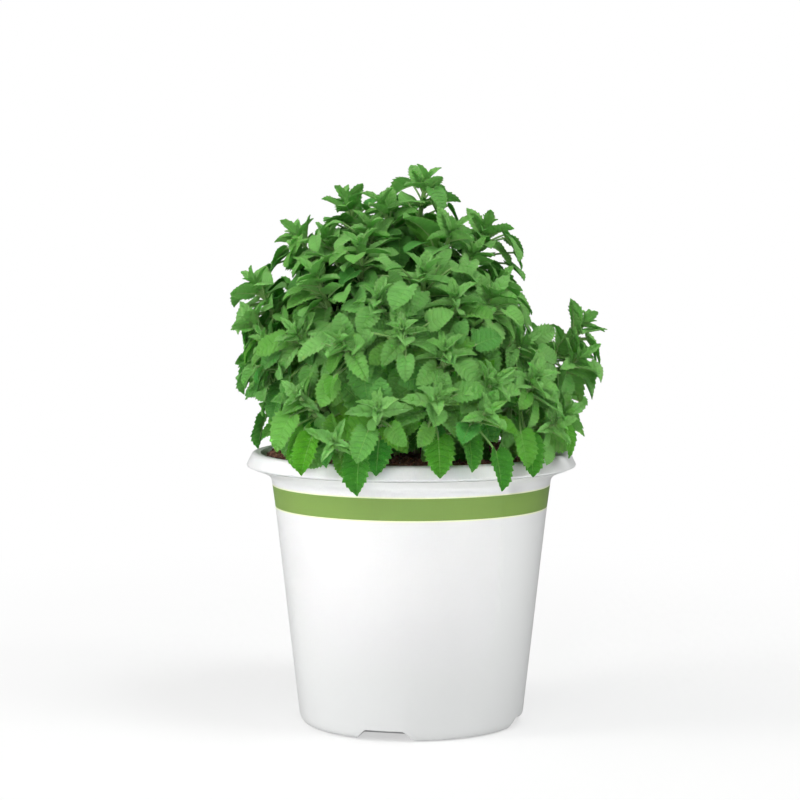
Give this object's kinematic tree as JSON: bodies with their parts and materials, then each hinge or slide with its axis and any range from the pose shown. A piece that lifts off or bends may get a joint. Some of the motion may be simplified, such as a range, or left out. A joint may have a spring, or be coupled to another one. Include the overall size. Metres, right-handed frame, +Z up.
{
  "type": "potted catnip",
  "caption": "Young catnip plant with opposite pairs of toothed heart-shaped leaves, rooted in potting mix in a round white plastic nursery pot with a green stripe.",
  "frame": {"origin": "on the pot's axis, in the plane that the pot stands on", "axes": "+Z up along the pot's axis, -Y towards the front"},
  "size_m": [0.1338, 0.1378, 0.1944],
  "materials": {
    "pot": "smooth moulded white, with a printed green stripe under the rim",
    "potting_mix": "loose dark peat and bark fibre",
    "leafy_stem": "soft, finely hairy green leaf"
  },
  "bodies": {
    "root": {"pot": "pot", "soil": "potting_mix", "stem_crown": "leafy_stem", "stem_crown_left": "leafy_stem", "stem_right_shoulder": "leafy_stem", "stem_far_left": "leafy_stem", "stem_left_low": "leafy_stem", "stem_front_left": "leafy_stem", "stem_front_upper": "leafy_stem", "stem_front_centre": "leafy_stem", "stem_front_right": "leafy_stem", "stem_front_right_low": "leafy_stem", "stem_far_right": "leafy_stem", "stem_right_low": "leafy_stem", "stem_rim_centre": "leafy_stem", "stem_rim_left_centre": "leafy_stem", "stem_rim_left": "leafy_stem", "stem_rim_right": "leafy_stem", "stem_back_crown": "leafy_stem", "stem_back_upper": "leafy_stem", "stem_back_right": "leafy_stem", "stem_back_left": "leafy_stem", "stem_back_far_right": "leafy_stem", "stem_back_low": "leafy_stem", "stem_back_left_low": "leafy_stem", "stem_back_right_low": "leafy_stem"}
  },
  "joints": []
}
